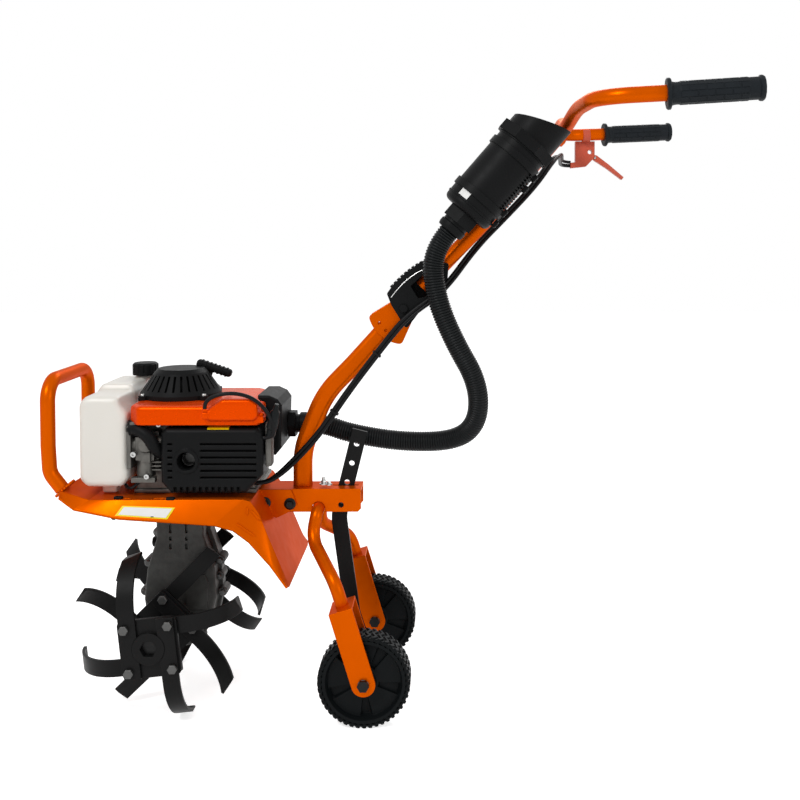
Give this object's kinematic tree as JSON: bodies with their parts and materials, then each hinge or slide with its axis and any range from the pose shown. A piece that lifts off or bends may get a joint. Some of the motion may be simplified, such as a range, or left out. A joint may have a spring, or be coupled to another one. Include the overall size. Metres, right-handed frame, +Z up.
{
  "type": "mini tiller",
  "caption": "Walk-behind mini tiller with a small engine on a worm gearbox, curled steel tines in front, transport wheels behind and a tall handlebar.",
  "frame": {"origin": "on the floor, below the middle of the machine's length and width", "axes": "+X back towards the handlebar, +Y to the machine's right, +Z up"},
  "size_m": [1.0449, 0.5794, 0.9526],
  "materials": {
    "orange_paint": "gloss powder coat",
    "orange_shroud": "gloss",
    "black_paint": "satin",
    "black_plastic": "fine grain",
    "tank_plastic": "milky",
    "grey_casting": "dark cast",
    "bare_metal": "cast",
    "steel": "bright",
    "wheel_plastic": "moulded",
    "grip_rubber": "ribbed",
    "hose_rubber": "corrugated",
    "cable_sheath": "smooth",
    "red_plastic": "gloss"
  },
  "bodies": {
    "chassis": {"gearbox": "grey_casting", "deck": "orange_paint", "front_guard": "orange_paint", "engine_block": "bare_metal", "engine_shroud": "orange_shroud", "exhaust_cover": "black_plastic", "recoil_starter": "black_plastic", "starter_grip": "black_plastic", "fuel_tank": "tank_plastic", "fuel_cap": "black_plastic", "carburettor": "bare_metal", "intake_box": "black_plastic", "hose_fitting": "black_plastic", "spark_lead": "cable_sheath", "rear_bracket": "orange_paint", "lower_column": "orange_paint", "pivot_plates": "orange_paint"},
    "tine_rotor": {"tine_shaft": "steel", "tine_hub_left": "black_paint", "tine_hub_right": "black_paint", "tines_outer_left": "black_paint", "tines_outer_right": "black_paint", "tines_inner_left": "black_paint", "tines_inner_right": "black_paint"},
    "wheel_frame": {"wheel_frame": "orange_paint", "wheel_fork_left": "orange_paint", "wheel_fork_right": "orange_paint", "axle_bolts": "steel"},
    "wheel_left": {"wheel_left": "wheel_plastic"},
    "wheel_right": {"wheel_right": "wheel_plastic"},
    "drag_bar": {"drag_bar": "black_paint"},
    "handlebar": {"mast": "orange_paint", "handlebar": "orange_paint", "knuckle": "black_plastic", "pivot_bolt": "steel", "grip_left": "grip_rubber", "grip_right": "grip_rubber", "filter_can": "black_plastic", "filter_outlet": "black_plastic", "filter_cup": "black_plastic", "filter_clamps": "black_plastic", "throttle_body": "red_plastic", "throttle_lever": "red_plastic", "air_hose": "hose_rubber", "throttle_cable": "cable_sheath"}
  },
  "joints": [
    {"name": "tine_rotation", "type": "hinge", "parent": "chassis", "child": "tine_rotor", "pos_m": [-0.341, 0, 0.127], "axis": [0, 1, 0], "continuous": true},
    {"name": "wheel_frame_fold", "type": "hinge", "parent": "chassis", "child": "wheel_frame", "pos_m": [-0.105, 0, 0.302], "axis": [0, -1, 0], "range_deg": [0, 80]},
    {"name": "wheel_roll_left", "type": "hinge", "parent": "wheel_frame", "child": "wheel_left", "pos_m": [-0.024, -0.121, 0.07], "axis": [0, 1, 0], "continuous": true},
    {"name": "wheel_roll_right", "type": "hinge", "parent": "wheel_frame", "child": "wheel_right", "pos_m": [-0.024, 0.121, 0.07], "axis": [0, 1, 0], "continuous": true},
    {"name": "handlebar_angle", "type": "hinge", "parent": "chassis", "child": "handlebar", "pos_m": [0.032, 0, 0.622], "axis": [0, 1, 0], "range_deg": [-20, 20], "deforming": ["air_hose", "throttle_cable"]},
    {"name": "drag_bar_depth", "type": "slide", "parent": "chassis", "child": "drag_bar", "axis": [0.2425, 0, 0.9701], "range_m": [-0.064, 0]}
  ]
}
